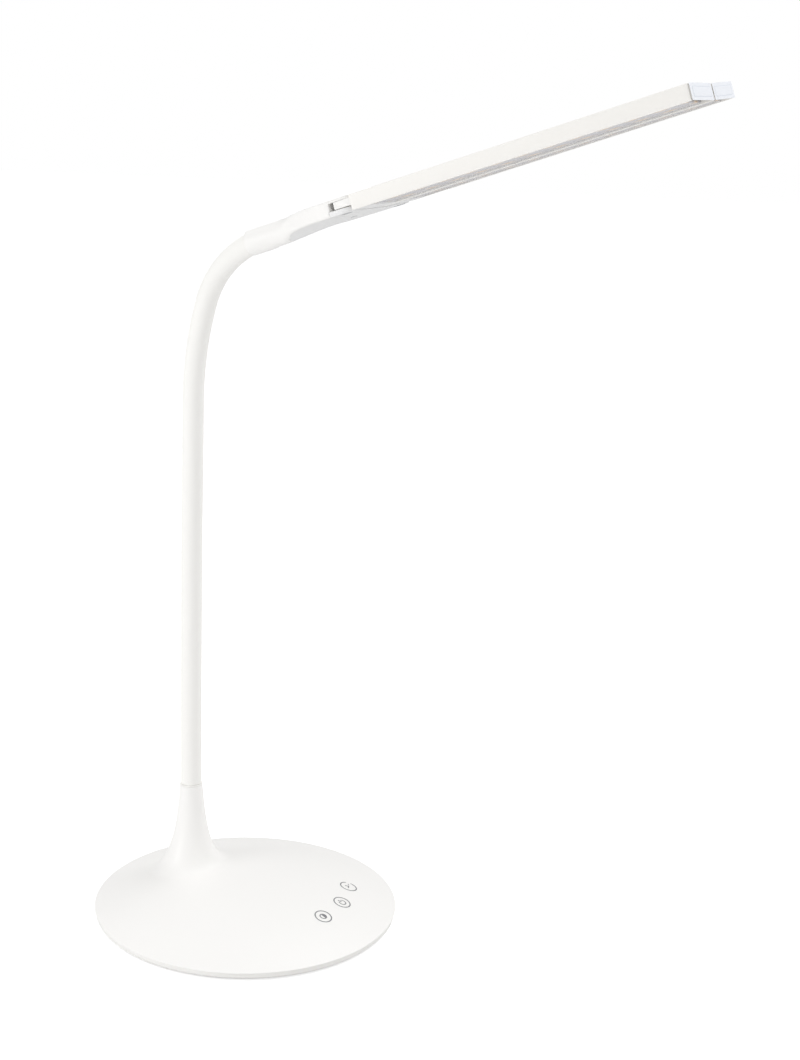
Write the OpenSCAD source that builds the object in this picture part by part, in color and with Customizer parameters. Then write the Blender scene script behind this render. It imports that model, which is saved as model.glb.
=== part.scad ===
// Folding desk lamp: a weighted round base, a bendable neck, and a head with two light bars that swing out.
// Millimetres, +Z up. The head points along +X, and the origin is on the table under the middle of the base.

/* [Base] */
// Diameter of the round base
base_d = 170; // [150:1:200]
// Height of the seam between the tray and the domed shell
seam_z = 4.6; // [4.2:0.1:6]
// Rise of the dome from its rim to its crown
dome_rise = 18; // [16:0.5:24]
// Wall of the domed shell
shell_wall = 2.4; // [1.8:0.1:3]
// Height of the tray's underside above the table
foot_lift = 1.2; // [0.8:0.1:1.6]
// Thickness of the steel ballast disc
ballast_t = 4; // [3:0.5:4.5]
// Distance from the middle of the base to each touch mark
mark_ring_r = 58.2; // [50:0.2:60]
// Angle of the middle touch mark from the head's direction
mark_turn = 6; // [-20:1:20]
// Angle between neighbouring touch marks
mark_step = 20; // [16:1:26]
// Outer radius of a touch mark's ring
mark_r = 4.8; // [4:0.1:6]

/* [Neck] */
// Distance of the neck behind the middle of the base
neck_back = 35.5; // [25:0.5:42]
// Height of the neck's mouth
neck_top = 68.6; // [64:0.2:76]
// Radius of the neck at its mouth
neck_mouth_r = 6.4; // [6.3:0.1:8]
// How fast the neck spreads toward its foot
neck_flare = 0.66; // [0.6:0.01:0.72]
// Diameter of the gooseneck over its sheath
tube_d = 11.7; // [10:0.1:11.8]
// Wall of the gooseneck's sheath
sheath_wall = 1.4; // [1:0.1:2]
// Bore of the gooseneck's steel core
core_bore_d = 3.6; // [3:0.2:5]
// Heights of the three lower bending points
bend_heights = [100, 200, 289.8]; // [80:0.5:300]
// Lean of the gooseneck's straight lengths from the vertical
leans = [0, 0.45, 0.9]; // [0:0.05:3]
// Radius and angle of the gentle start of the elbow
ease_r = 190; // [120:5:300]
ease_angle = 15; // [8:1:20]
// Radius of the elbow
elbow_r = 52; // [40:1:70]
// Heading, from the vertical, at the bending point just before the head
tip_bend_heading = 55; // [45:1:60]

/* [Head] */
// Slope of the head above the horizontal
head_tilt = 18.4; // [5:0.1:30]
// Distance from the end of the elbow to the light bars
head_reach = 71; // [68:0.1:76]
// Height of the sleeve's axis above the underside of the light bars
sleeve_w = 2.9; // [2.6:0.1:3.2]
// Diameter of the sleeve that holds the gooseneck
sleeve_d = 13.4; // [13.4:0.1:15]
// Distance from a light bar's hinged end to its pin
hinge_inset = 5.6; // [5.5:0.1:6.5]

/* [Light bars] */
// Length of a light bar
bar_l = 169.4; // [120:0.2:220]
// Width of a light bar
bar_w = 35; // [30:0.5:42]
// Thickness of a light bar
bar_t = 7.7; // [7.2:0.1:9]
// Gap between the closed light bars
bar_gap = 1; // [0.6:0.1:2]
// Roll of each light bar: its outer edge is the higher one
bar_roll = 1; // [0:0.1:2]
// Wall of a light bar's housing
bar_wall = 1.6; // [1.2:0.1:2]
// Thickness of the cap on a light bar's end
cap_t = 2; // [1.5:0.1:3]
// Distance between neighbouring LEDs along a light bar
led_pitch = 13.3; // [10:0.1:18]

/* [Hidden] */
$fn = 96;

LEFT = 1;
RIGHT = -1;
MODE = -1;
POWER = 0;
TIMER = 1;

// Colours
white = "#f4f3ef";
warm_white = "#ece9e2";
soft_grey = "#b9b7b3";
mark_grey = "#8d8f92";
steel = "#9aa0a6";
brass = "#c9a85a";
board_green = "#2f6b4a";
lead_red = "#a8443c";

// Base
base_r = base_d / 2;
rim_z = seam_z + 0.5;
dome_r = (base_r * base_r + dome_rise * dome_rise) / (2 * dome_rise);
dome_mid_z = rim_z + dome_rise - dome_r;
tray_floor_z = 3.2;
tray_r = base_r - 0.6;
tray_top_z = seam_z - 0.1;
tray_edge = 1;
boss_ring_r = 66;
boss_r = 3.5;
boss_angles = [0, 120, 240];
foot_ring_r = 70;
foot_angles = [45:90:315];
foot_r = 6.5;
foot_t = foot_lift + 0.6;
screw_r = 1.25;
screw_head_r = 2.6;
ballast_r = 58;
ballast_z = tray_floor_z;
ballast_screw_ring_r = 48;
ballast_screw_angles = [30, 150, 270];
board_z = 8.7;
board_t = 1.2;
board_in_r = 34;
board_out_r = 62;
board_span = 44;
board_post_r = 2.4;
board_post_ring_r = 39;
board_post_angles = [mark_turn - 33, mark_turn + 33];
spring_r = 3.2;
spring_h = dome_z(mark_ring_r + spring_r) - 1.1 * shell_wall - board_z - board_t;
mark_line = 0.75;
mark_depth = 0.3;

// Socket for the power plug, in a channel under the base
jack_x = -52;
jack_l = 11.5;
jack_w = 7.2;
jack_z = 5.4;
jack_top_z = 8.2;
jack_bore_r = 1.9;
jack_bore_l = 9;
jack_pin_r = 0.65;
channel_w = 10;
channel_wall = 1.4;
channel_roof_z = 9;
channel_roof_t = 1.2;
channel_wall_x = base_r - 6;
channel_mid_y = (channel_w + channel_wall) / 2;
channel_roof_x = -64;
lead_r = 1.2;

// Neck
neck_x = -neck_back;
neck_root_z = 10;
foot_top_z = 30.2;
foot_spread = 26;
foot_rings = 8;
foot_sink = 0.3;
foot_start_r = neck_r(foot_top_z);
foot_rise = foot_top_z - dome_z(neck_back);
foot_power = (foot_top_z - neck_root_z) / neck_flare / foot_start_r
    * (foot_spread - foot_start_r) / foot_rise;
foot_lean = asin(neck_back / dome_r);
tube_r = tube_d / 2;
core_r = tube_r - sheath_wall - 0.05;
core_bore_r = core_bore_d / 2;
core_lead_r = core_bore_r - 0.3;
neck_bore_r = core_r + 0.1;
shelf_z = 46;
shelf_t = 4;
plug_shank_r = 3.2;
plug_bottom_z = 37;
plug_flange_z = shelf_z + shelf_t;
plug_flange_t = 3;
nut_t = 4;
nut_r = 5.5;
washer_t = 1;
neck_void_r = 6.6;
collar_t = 0.8;

// Bending points: the lower length ends in a ball, and the upper length starts as a cup round it
cup_r = tube_r + 0.3;
ball_r = tube_r - 0.05;
head_heading = 90 - head_tilt;
ease_link = 2.6;
lap = 0.5;
step_in = 0.02;

function ahead(p, heading, run) = [p[0] + run * sin(heading), p[1] + run * cos(heading)];
function along_arc(p, from, to, r) = [p[0] + r * (cos(from) - cos(to)), p[1] + r * (sin(to) - sin(from))];

p_root = [neck_x, plug_flange_z + plug_flange_t];
p1 = [neck_x, bend_heights[0]];
p2 = ahead(p1, leans[1], (bend_heights[1] - bend_heights[0]) / cos(leans[1]));
p3 = ahead(p2, leans[2], (bend_heights[2] - bend_heights[1]) / cos(leans[2]));
ease_heading = leans[2] + ease_angle;
p_ease = along_arc(p3, leans[2], ease_heading, ease_r);
p_elbow = ahead(p_ease, ease_heading, ease_link);
p4 = along_arc(p_elbow, ease_heading, tip_bend_heading, elbow_r);
p_end = along_arc(p4, tip_bend_heading, head_heading, elbow_r);

// Head, in its own frame: x runs from the front of the head toward the tips of the light bars
sleeve_r = sleeve_d / 2;
lip_x = -78.1;
sleeve_end_x = -59.8;
sleeve_mouth_x = lip_x + 8;
sheath_end_x = -68.1;
plug_end_x = -60.6;
plug_r = tube_r;
shell_end_x = -0.4;
block_x = -15;
block_bottom = -0.3;
block_top = 7.8;
half_w = bar_w + bar_gap / 2;
pivot_x = -hinge_inset;
lip_corner_r = hinge_inset - 0.4;
pivot_y = bar_w - lip_corner_r;
slot_r = hinge_inset + 0.7;
cover_lip_x = pivot_x - slot_r - 0.6;
cover_lip_y = 20.5;
tongue_r = hinge_inset - 0.6;
tongue_back = 3.6;
tongue_sweep_r = slot_r - 0.3;
slot_top = 6.3;
lower_lip_top = 2.3;
tongue_bottom = 2.6;
tongue_top = 6;
pin_r = 1.8;
pin_head_r = 3;
pin_head_t = 0.8;
pin_top = 7;
washer_r = 3.4;
cover_top_w = 1.7;
cover_start_w = 5;
cover_inset = 2.2;
cover_start_x = -53;
roof_w = 6.6;
cavity_inset = 5.2;
cavity_front_x = -3;
cover_screw_x = -17;
grub_x = -64.6;
grub_r = 1.5;
head_lead_r = 0.9;
head_lead_w = 3.6;
lead_bore_r = 3;
lead_gate_y = 15;

// Stations of the head's flare: x, half width, underside and top
flare = [
    [-53, 9.5, 0.2, 8.9],
    [-47, 15.5, 0.2, 8.7],
    [-33, 28, 0.1, 8.5],
    [block_x, half_w - step_in, 0, 8.3]
];
keel_start_x = -60.1;
keel_end_x = -33;
keel_half_w = 5;
keel_edge_r = 3;
keel_step = 0.25;

// Light bars
knuckle_l = 8;
housing_l = bar_l - cap_t;
roof_t = 1.6;
bar_inner_w = bar_w - 2 * bar_wall;
fit = 0.1;
diffuser_z = 0.4;
diffuser_t = 1.6;
led_board_w = 26;
led_board_t = 1.2;
led_board_x = knuckle_l + 4;
led_board_z = bar_t - roof_t - led_board_t;
led_size = [3.5, 2.8, 0.8];
led_bottom_z = led_board_z - led_size[2];
led_rows = [10, 25];
led_count = floor((housing_l - knuckle_l - 18) / led_pitch) + 1;
led_start = knuckle_l + 10.5;
cap_plug_l = 5;
cap_groove = 1.5;
cap_stop_l = cap_t - 0.3;
bar_lead_y = 17;

// ---- shapes that several sub-parts share ----

// A length of neck profile: the radius at height z
function neck_r(z) = neck_mouth_r * pow((neck_top - neck_root_z) / (z - neck_root_z), neck_flare);

// The dome's height at distance r from the middle of the base
function dome_z(r) = dome_mid_z + sqrt(dome_r * dome_r - r * r);

module dome_ball(inset = 0)
    translate([0, 0, dome_mid_z]) sphere(r = dome_r - inset, $fn = 160);

// Children stood at points on a circle round the middle of the base
module around(ring_r, angles)
    for (a = angles) rotate([0, 0, a]) translate([ring_r, 0, 0]) children();

// A round rod from one point to another, and past it
module rod(a, b, r, past = 0) {
    d = b - a;
    run = norm(d);
    translate(a)
        rotate([0, acos(d[2] / run), atan2(d[1], d[0])])
            cylinder(r = r, h = run + past);
}

// A lead through a list of points: every second stretch is a little thinner
module lead(points, r) {
    last = len(points) - 1;
    for (i = [1:last])
        rod(points[i - 1], points[i], i % 2 == 0 ? 0.95 * r : r, i < last ? 0.5 * r : 0);
}

// A frame that stands at point p of the neck's plane and looks along its heading
module at(p, heading)
    translate([p[0], 0, p[1]]) rotate([0, heading, 0]) children();

// A round bar along an arc that starts at the origin along +Z and turns toward +X
module arc_rod(bend_r, angle, r)
    translate([bend_r, 0, 0])
        rotate([90, 0, 0])
            rotate([0, 0, 180 - angle])
                rotate_extrude(angle = angle) translate([bend_r, 0]) circle(r = r);

module head_frame()
    at(p_end, head_heading)
        rotate([0, -90, 0])
            translate([head_reach, 0, -sleeve_w])
                children();

// A frame on one light bar: x along it, y from its inner to its outer edge, z up from its underside
module bar_frame(side)
    head_frame()
        mirror([0, side == RIGHT ? 1 : 0, 0])
            translate([0, bar_gap / 2, 0])
                rotate([bar_roll, 0, 0])
                    children();

// ---- base ----

// The neck's foot, which eases into the dome. It leans back so that it meets the dome all round.
module neck_foot() {
    outline = [for (k = [0:foot_rings])
        let (
            t = 0.06 + 0.94 * k / foot_rings,
            r = foot_start_r + (foot_spread - foot_start_r) * t
        )
        [r, sqrt(dome_r * dome_r - r * r) + foot_rise * pow(1 - t, foot_power) - foot_sink * t * t]];
    low_h = dome_r - 8;
    translate([0, 0, dome_mid_z])
        rotate([0, -foot_lean, 0])
            rotate_extrude()
                polygon(concat([[0, outline[0][1]]], outline, [[foot_spread, low_h], [0, low_h]]));
}

module neck_stem() {
    steps = 12;
    low_z = foot_top_z - 3.2;
    outline = [for (k = [0:steps])
        let (z = low_z + (neck_top - low_z) * pow(k / steps, 1.4)) [neck_r(z), z]];
    translate([neck_x, 0, 0])
        rotate_extrude()
            polygon(concat([[0, low_z]], outline, [[0, neck_top]]));
}

module neck_void() {
    void_bottom_z = rim_z + 1;
    translate([neck_x, 0, 0]) {
        translate([0, 0, plug_flange_z]) cylinder(r = neck_bore_r, h = neck_top);
        translate([0, 0, shelf_z - 1]) cylinder(r = plug_shank_r + 0.1, h = shelf_t + 2);
        rotate_extrude()
            polygon([
                [0, shelf_z], [neck_void_r, shelf_z], [neck_void_r, shelf_z - 6],
                [foot_start_r - shell_wall, foot_top_z], [foot_start_r, 22],
                [foot_start_r, void_bottom_z], [0, void_bottom_z]
            ]);
    }
}

module base_shell() color(white) {
    difference() {
        union() {
            intersection() {
                translate([0, 0, seam_z]) cylinder(r = base_r, h = dome_rise + 5, $fn = 240);
                dome_ball();
            }
            neck_foot();
            neck_stem();
        }
        intersection() {
            translate([0, 0, seam_z - 1]) cylinder(r = base_r - shell_wall, h = dome_rise + 5, $fn = 240);
            dome_ball(shell_wall);
        }
        neck_void();
        for (kind = [MODE, POWER, TIMER]) mark_solid(kind, 1);
    }
    difference() {
        intersection() {
            union() {
                around(boss_ring_r, boss_angles)
                    translate([0, 0, tray_floor_z]) cylinder(r = boss_r, h = 20);
                around(board_post_ring_r, board_post_angles)
                    translate([0, 0, board_z + board_t]) cylinder(r = board_post_r, h = 20);
            }
            dome_ball(shell_wall - 0.3);
        }
        around(boss_ring_r, boss_angles) translate([0, 0, tray_floor_z - 1]) cylinder(r = screw_r, h = 5.5);
        around(board_post_ring_r, board_post_angles)
            translate([0, 0, board_z]) cylinder(r = screw_r, h = board_t + 4);
    }
}

// The room that the plug's channel takes out of the tray
module channel_room(grow = 0, top_z = channel_roof_z)
    translate([-base_r - 1, -channel_w / 2 - grow, -1])
        cube([base_r + 1 + jack_x + grow, channel_w + 2 * grow, top_z + 1]);

module base_tray() color(warm_white)
    difference() {
        union() {
            translate([0, 0, foot_lift]) {
                translate([0, 0, tray_edge])
                    cylinder(r = tray_r, h = tray_top_z - foot_lift - tray_edge, $fn = 240);
                cylinder(r1 = tray_r - tray_edge, r2 = tray_r, h = tray_edge, $fn = 240);
            }
            intersection() {
                translate([channel_roof_x, -channel_w / 2 - channel_wall, foot_lift])
                    cube([
                        jack_x - channel_roof_x, channel_w + 2 * channel_wall,
                        channel_roof_z + channel_roof_t - foot_lift
                    ]);
                dome_ball(shell_wall + 0.3);
            }
            intersection() {
                for (side = [LEFT, RIGHT])
                    translate([-channel_wall_x, side * channel_mid_y - channel_wall / 2, foot_lift])
                        cube([channel_wall_x + channel_roof_x + 1, channel_wall, channel_roof_z]);
                dome_ball(shell_wall + 0.3);
            }
        }
        difference() {
            translate([0, 0, tray_floor_z]) cylinder(r = tray_r - 4, h = 10, $fn = 240);
            channel_room(channel_wall, channel_roof_z + channel_roof_t);
        }
        channel_room();
        translate([jack_x - 1, -jack_w / 2 - fit, tray_floor_z])
            cube([jack_l, jack_w + 2 * fit, jack_top_z]);
        foot_places() translate([0, 0, -1]) cylinder(r = foot_r + fit, h = 1 + foot_t);
        around(boss_ring_r, boss_angles) {
            cylinder(r = screw_r + 0.3, h = 10);
            cylinder(r = screw_head_r + 0.2, h = foot_lift + 1.2);
        }
        around(ballast_screw_ring_r, ballast_screw_angles)
            translate([0, 0, foot_lift + 0.4]) cylinder(r = screw_r, h = 5);
    }

module ballast_disc() color(steel)
    translate([0, 0, ballast_z])
        difference() {
            cylinder(r = ballast_r, h = ballast_t);
            translate([-ballast_r - 1, -channel_w / 2 - channel_wall - 1, -1])
                cube([ballast_r + 1 - 36, channel_w + 2 * channel_wall + 2, ballast_t + 2]);
            around(ballast_screw_ring_r, ballast_screw_angles) {
                translate([0, 0, -1]) cylinder(r = screw_r + 0.3, h = ballast_t + 2);
                translate([0, 0, ballast_t - 1.5]) cylinder(r = screw_head_r + 0.2, h = 2);
            }
        }

module ballast_screws() color(steel)
    around(ballast_screw_ring_r, ballast_screw_angles) {
        head_z = ballast_z + ballast_t - 1.5;
        translate([0, 0, foot_lift + 0.4]) cylinder(r = screw_r, h = head_z - foot_lift - 0.4);
        translate([0, 0, head_z]) cylinder(r = screw_head_r, h = 1.3);
    }

module foot_places() {
    children();
    around(foot_ring_r, foot_angles) children();
}

module base_feet() color(soft_grey)
    foot_places() cylinder(r = foot_r, h = foot_t);

module tray_screws() color(steel)
    around(boss_ring_r, boss_angles) {
        head_z = foot_lift + 0.1;
        translate([0, 0, head_z]) cylinder(r = screw_head_r, h = 1.1);
        translate([0, 0, head_z + 1.1]) cylinder(r = screw_r, h = 5.2);
    }

module control_board() color(board_green) {
    reach = board_out_r * 1.5;
    difference() {
        intersection() {
            translate([0, 0, board_z]) cylinder(r = board_out_r, h = board_t);
            rotate([0, 0, mark_turn])
                translate([0, 0, board_z - 1])
                    linear_extrude(board_t + 2)
                        polygon([
                            [0, 0], reach * [cos(board_span), -sin(board_span)],
                            reach * [cos(board_span), sin(board_span)]
                        ]);
        }
        translate([0, 0, board_z - 1]) cylinder(r = board_in_r, h = board_t + 2);
        around(board_post_ring_r, board_post_angles)
            translate([0, 0, board_z - 1]) cylinder(r = screw_r + 0.2, h = board_t + 2);
    }
    rotate([0, 0, mark_turn])
        for (y = [-12, 2, 12])
            translate([board_in_r + 6, y, board_z + board_t]) cube([7, 6, 1.6], center = true);
}

module board_screws() color(steel)
    around(board_post_ring_r, board_post_angles) {
        translate([0, 0, board_z - 1]) cylinder(r = screw_head_r - 0.4, h = 1);
        translate([0, 0, board_z]) cylinder(r = screw_r, h = board_t + 3.5);
    }

module touch_springs() color(steel)
    around(mark_ring_r, [for (k = [-1:1]) mark_turn + k * mark_step])
        translate([0, 0, board_z + board_t])
            difference() {
                cylinder(r = spring_r, h = spring_h);
                translate([0, 0, -1]) cylinder(r = spring_r - 0.7, h = spring_h + 2);
            }

// Outlines printed on the dome: +Y of each is toward the neck
module mark_outline(kind) {
    line = mark_line * 0.8;
    difference() {
        circle(r = mark_r);
        circle(r = mark_r - mark_line);
    }
    if (kind == MODE)
        difference() {
            circle(r = 2.1);
            circle(r = 2.1 - line);
        }
    if (kind == MODE)
        intersection() {
            circle(r = 2.1);
            translate([0, -3]) square([3, 6]);
        }
    if (kind == POWER) {
        difference() {
            circle(r = 2.2);
            circle(r = 2.2 - line);
            translate([-0.9, 0]) square([1.8, 3]);
        }
        translate([-line / 2, 0.2]) square([line, 2.4]);
    }
    if (kind == TIMER) {
        translate([-line / 2, 0]) square([line, 2.2]);
        translate([0, -line / 2]) square([1.7, line]);
    }
}

module mark_solid(kind, proud)
    intersection() {
        rotate([0, 0, mark_turn + kind * mark_step])
            translate([mark_ring_r, 0, rim_z])
                rotate([0, 0, 90]) linear_extrude(20) mark_outline(kind);
        difference() {
            dome_ball(-proud);
            dome_ball(mark_depth);
        }
    }

module touch_mark(kind) color(mark_grey) mark_solid(kind, 0.03);

module dc_jack() color("#3a3b3d")
    translate([jack_x, 0, 0]) {
        difference() {
            translate([0, -jack_w / 2, tray_floor_z]) cube([jack_l, jack_w, jack_top_z - tray_floor_z]);
            translate([-1, 0, jack_z]) rotate([0, 90, 0]) cylinder(r = jack_bore_r, h = jack_bore_l + 1);
        }
        translate([1, 0, jack_z]) rotate([0, 90, 0]) cylinder(r = jack_pin_r, h = jack_bore_l);
    }

module base_leads() color(lead_red) {
    over_z = ballast_z + ballast_t + lead_r + 0.4;
    board_edge = [board_in_r - 0.5, 0, over_z];
    jack_back = [jack_x + jack_l, 0, jack_z];
    lead([
        jack_back, jack_back + [1.5, 0, 0], jack_back + [4, 3, over_z + 0.5 - jack_z],
        [0, 6, over_z], board_edge + [0, 4, 0]
    ], lead_r);
    lead([
        [neck_x, 0, plug_bottom_z], [neck_x, 0, 24], [neck_x + 8, -3, 14], [0, -4, over_z],
        board_edge + [0, -4, 0]
    ], lead_r);
}

// ---- neck ----

module neck_collar() color(warm_white)
    translate([neck_x, 0, neck_top])
        difference() {
            cylinder(r = neck_mouth_r, h = collar_t);
            translate([0, 0, -1]) cylinder(r = neck_bore_r, h = collar_t + 2);
        }

module neck_plug_lower() color(brass)
    translate([neck_x, 0, 0])
        difference() {
            union() {
                translate([0, 0, plug_bottom_z])
                    cylinder(r = plug_shank_r, h = plug_flange_z - plug_bottom_z);
                translate([0, 0, plug_flange_z]) cylinder(r = core_r, h = plug_flange_t);
            }
            translate([0, 0, plug_bottom_z - 1]) cylinder(r = core_bore_r, h = 30);
        }

module neck_washer() color(steel)
    translate([neck_x, 0, shelf_z - washer_t])
        difference() {
            cylinder(r = nut_r, h = washer_t - 0.05);
            translate([0, 0, -1]) cylinder(r = plug_shank_r + 0.1, h = washer_t + 2);
        }

module neck_nut() color(steel)
    translate([neck_x, 0, shelf_z - washer_t - nut_t - 0.05])
        difference() {
            cylinder(r = nut_r, h = nut_t, $fn = 6);
            translate([0, 0, -1]) cylinder(r = plug_shank_r, h = nut_t + 2);
        }

// One stretch of the gooseneck as a solid bar of radius r; its straight pieces lap into its bends
module gooseneck_bar(stretch, r) {
    if (stretch == "root") at(p_root, 0) cylinder(r = r, h = p1[1] - p_root[1]);
    if (stretch == "lower") at(p1, leans[1]) cylinder(r = r, h = norm(p2 - p1));
    if (stretch == "upper") at(p2, leans[2]) cylinder(r = r, h = norm(p3 - p2));
    if (stretch == "elbow") {
        at(p3, leans[2]) arc_rod(ease_r, ease_angle, r);
        at(p_ease, ease_heading)
            translate([0, 0, -lap]) cylinder(r = r - step_in, h = ease_link + 2 * lap);
        at(p_elbow, ease_heading) arc_rod(elbow_r, tip_bend_heading - ease_heading, r);
    }
    if (stretch == "tip") {
        at(p4, tip_bend_heading) arc_rod(elbow_r, head_heading - tip_bend_heading, r);
        at(p_end, head_heading)
            translate([0, 0, -lap]) cylinder(r = r - step_in, h = head_reach + sheath_end_x + lap);
    }
}

function stretch_start(stretch) =
    stretch == "lower" ? p1 : stretch == "upper" ? p2 : stretch == "elbow" ? p3 : p4;
function stretch_finish(stretch) =
    stretch == "root" ? p1 : stretch == "lower" ? p2 : stretch == "upper" ? p3 : p4;
function start_heading(stretch) =
    stretch == "lower" ? leans[1] : stretch == "tip" ? tip_bend_heading : leans[2];
function finish_heading(stretch) =
    stretch == "root" ? 0 : stretch == "lower" ? leans[1] : stretch == "upper" ? leans[2] : tip_bend_heading;

// A stretch between two radii: it starts as a cup, and ends as a ball of the tube's width
module gooseneck_part(stretch, outer_r, inner_r)
    difference() {
        union() {
            gooseneck_bar(stretch, outer_r);
            if (stretch != "tip")
                at(stretch_finish(stretch), finish_heading(stretch))
                    intersection() {
                        sphere(r = ball_r);
                        translate([0, 0, -lap]) cylinder(r = outer_r - step_in, h = tube_r + lap);
                    }
        }
        if (inner_r > 0) {
            gooseneck_bar(stretch, inner_r);
            if (stretch != "tip")
                at(stretch_finish(stretch), finish_heading(stretch))
                    translate([0, 0, -lap]) cylinder(r = inner_r - step_in, h = tube_r + lap);
        }
        if (stretch != "root") at(stretch_start(stretch), start_heading(stretch)) sphere(r = cup_r);
    }

module gooseneck_core(stretch) color(steel)
    gooseneck_part(stretch, core_r, core_bore_r);

module gooseneck_sheath(stretch) color(white)
    difference() {
        gooseneck_part(stretch, tube_r, tube_r - sheath_wall);
        if (stretch == "root") cylinder(r = base_r, h = neck_top + collar_t);
    }

module gooseneck_leads(stretch) color(lead_red) {
    gooseneck_part(stretch, core_lead_r, 0);
    if (stretch == "root")
        translate([neck_x, 0, plug_bottom_z + 1]) cylinder(r = core_lead_r, h = p_root[1] - plug_bottom_z);
}

// ---- head ----

module neck_plug_upper() color(brass)
    head_frame()
        translate([sheath_end_x, 0, sleeve_w])
            rotate([0, 90, 0])
                difference() {
                    cylinder(r = plug_r, h = plug_end_x - sheath_end_x);
                    translate([0, 0, -1]) cylinder(r = core_bore_r, h = 20);
                    translate([plug_r - 1, 0, grub_x - sheath_end_x])
                        rotate([0, 90, 0]) cylinder(r = grub_r, h = 5);
                }

module plug_screw() color(steel)
    head_frame()
        translate([grub_x, 0, sleeve_w - sleeve_r + 0.4])
            cylinder(r = grub_r, h = sleeve_r - plug_r + 0.6 - 0.05);

// The sleeve's swell, which runs out into the plate
module keel() {
    hull() {
        translate([keel_start_x, 0, sleeve_w]) rotate([0, 90, 0])
            cylinder(r = sleeve_r - keel_step, h = 0.5, $fn = 48);
        for (side = [LEFT, RIGHT])
            for (w = [keel_edge_r + 0.5, block_top - keel_edge_r])
                translate([keel_end_x, side * keel_half_w, w])
                    rotate([0, 90, 0]) cylinder(r = keel_edge_r, h = 0.5, $fn = 32);
    }
}

// A plate over half a plan outline of [x, y] pairs and its mirror image
module plate(plan, low_z, high_z) {
    mirrored = [for (i = [len(plan) - 1:-1:0]) [plan[i][0], -plan[i][1]]];
    translate([0, 0, low_z]) linear_extrude(high_z - low_z) polygon(concat(plan, mirrored));
}

// A plate between a plan outline and a side outline, both of them given as [x, value] pairs
module blade(plan, low, high) {
    topside = [for (i = [len(high) - 1:-1:0]) high[i]];
    intersection() {
        plate(plan, -20, 20);
        rotate([90, 0, 0]) translate([0, 0, -60]) linear_extrude(120) polygon(concat(low, topside));
    }
}

// One half of the head's front block, round about its hinge pin, in a light bar's frame
module lip_plan(z0, z1, inner_y, back_x) {
    thick = z1 - z0;
    translate([back_x, inner_y, z0]) cube([pivot_x - back_x, bar_w - step_in - inner_y, thick]);
    translate([pivot_x - 1, inner_y, z0]) cube([lip_corner_r - step_in + 1, pivot_y - inner_y, thick]);
    translate([pivot_x, pivot_y, z0]) cylinder(r = lip_corner_r, h = thick);
}

// Room for a tongue: round its pin, and open to the front and to the side
module tongue_room() {
    depth = slot_top + 10;
    translate([pivot_x, pivot_y, -10]) {
        cylinder(r = slot_r, h = depth);
        translate([step_in - slot_r, 0, 0]) cube([slot_r + 20, 20, depth]);
        translate([0, step_in - slot_r, 0]) cube([20, slot_r + 20, depth]);
    }
}

// Sleeve and paddle as one solid, before they are hollowed and parted
module head_form() {
    head_frame() {
        translate([lip_x, 0, sleeve_w])
            rotate([0, 90, 0]) cylinder(r = sleeve_r, h = sleeve_end_x - lip_x);
        keel();
        blade(
            [for (f = flare) [f[0], f[1]]],
            [for (f = flare) [f[0], f[2]]],
            [for (f = flare) [f[0], f[3]]]
        );
        translate([block_x - 1, -10, block_bottom + step_in])
            cube([shell_end_x - block_x + 1, 20, block_top - block_bottom - 2 * step_in]);
    }
    for (side = [LEFT, RIGHT])
        bar_frame(side) lip_plan(block_bottom, block_top, 5, block_x - 1);
}

// Half of the cover's plan: x and the distance from the middle
function cover_plan(grow = 0) = [
    [cover_start_x - grow, cover_start_w + grow],
    [flare[1][0], flare[1][1] - cover_inset + grow], [flare[2][0], flare[2][1] - cover_inset + grow],
    [block_x, half_w - cover_inset + grow], [cover_lip_x - 0.2 + grow, half_w - cover_inset + grow],
    [cover_lip_x - 0.2 + grow, cover_lip_y + 0.5 + grow],
    [shell_end_x + 5 * grow, cover_lip_y + 0.5 + grow]
];

// The zone of the underside that the cover fills
module cover_zone(grow = 0)
    plate(cover_plan(grow), -10, cover_top_w + grow);

// Half of the plan of the room behind the cover
function cavity_plan() = concat(
    [[cover_start_x + 0.5, cover_start_w - 0.5]],
    [for (k = [1:3]) [flare[k][0], flare[k][1] - cavity_inset]],
    [
        [cover_lip_x - 0.6, half_w - cavity_inset], [cover_lip_x - 0.6, cover_lip_y - 1.5],
        [cavity_front_x, cover_lip_y - 1.5]
    ]
);

module head_shell() color(white)
    difference() {
        head_form();
        head_frame() {
            translate([lip_x - 1, 0, sleeve_w]) rotate([0, 90, 0])
                cylinder(r1 = tube_r + 0.55, r2 = tube_r + 0.1, h = sleeve_mouth_x - lip_x + 1);
            translate([sleeve_mouth_x - 1, 0, sleeve_w]) rotate([0, 90, 0])
                cylinder(r = tube_r + 0.05, h = plug_end_x + 0.2 - sleeve_mouth_x + 1);
            translate([plug_end_x - 1, 0, sleeve_w]) rotate([0, 90, 0])
                cylinder(r = lead_bore_r, h = cover_start_x - plug_end_x + 2);
            translate([grub_x, 0, -10]) cylinder(r = grub_r, h = 8);
            plate(cavity_plan(), -20, roof_w);
            cover_zone(fit);
            for (side = [LEFT, RIGHT])
                translate([-4, side * lead_gate_y, head_lead_w])
                    rotate([0, 90, 0]) cylinder(r = head_lead_r + 0.3, h = 8);
        }
        for (side = [LEFT, RIGHT])
            bar_frame(side) {
                tongue_room();
                translate([cover_lip_x - fit, cover_lip_y - fit, -10])
                    cube([30, 30, lower_lip_top + fit + 10]);
                translate([pivot_x, pivot_y, 0]) cylinder(r = pin_r, h = pin_top);
            }
    }

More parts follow.
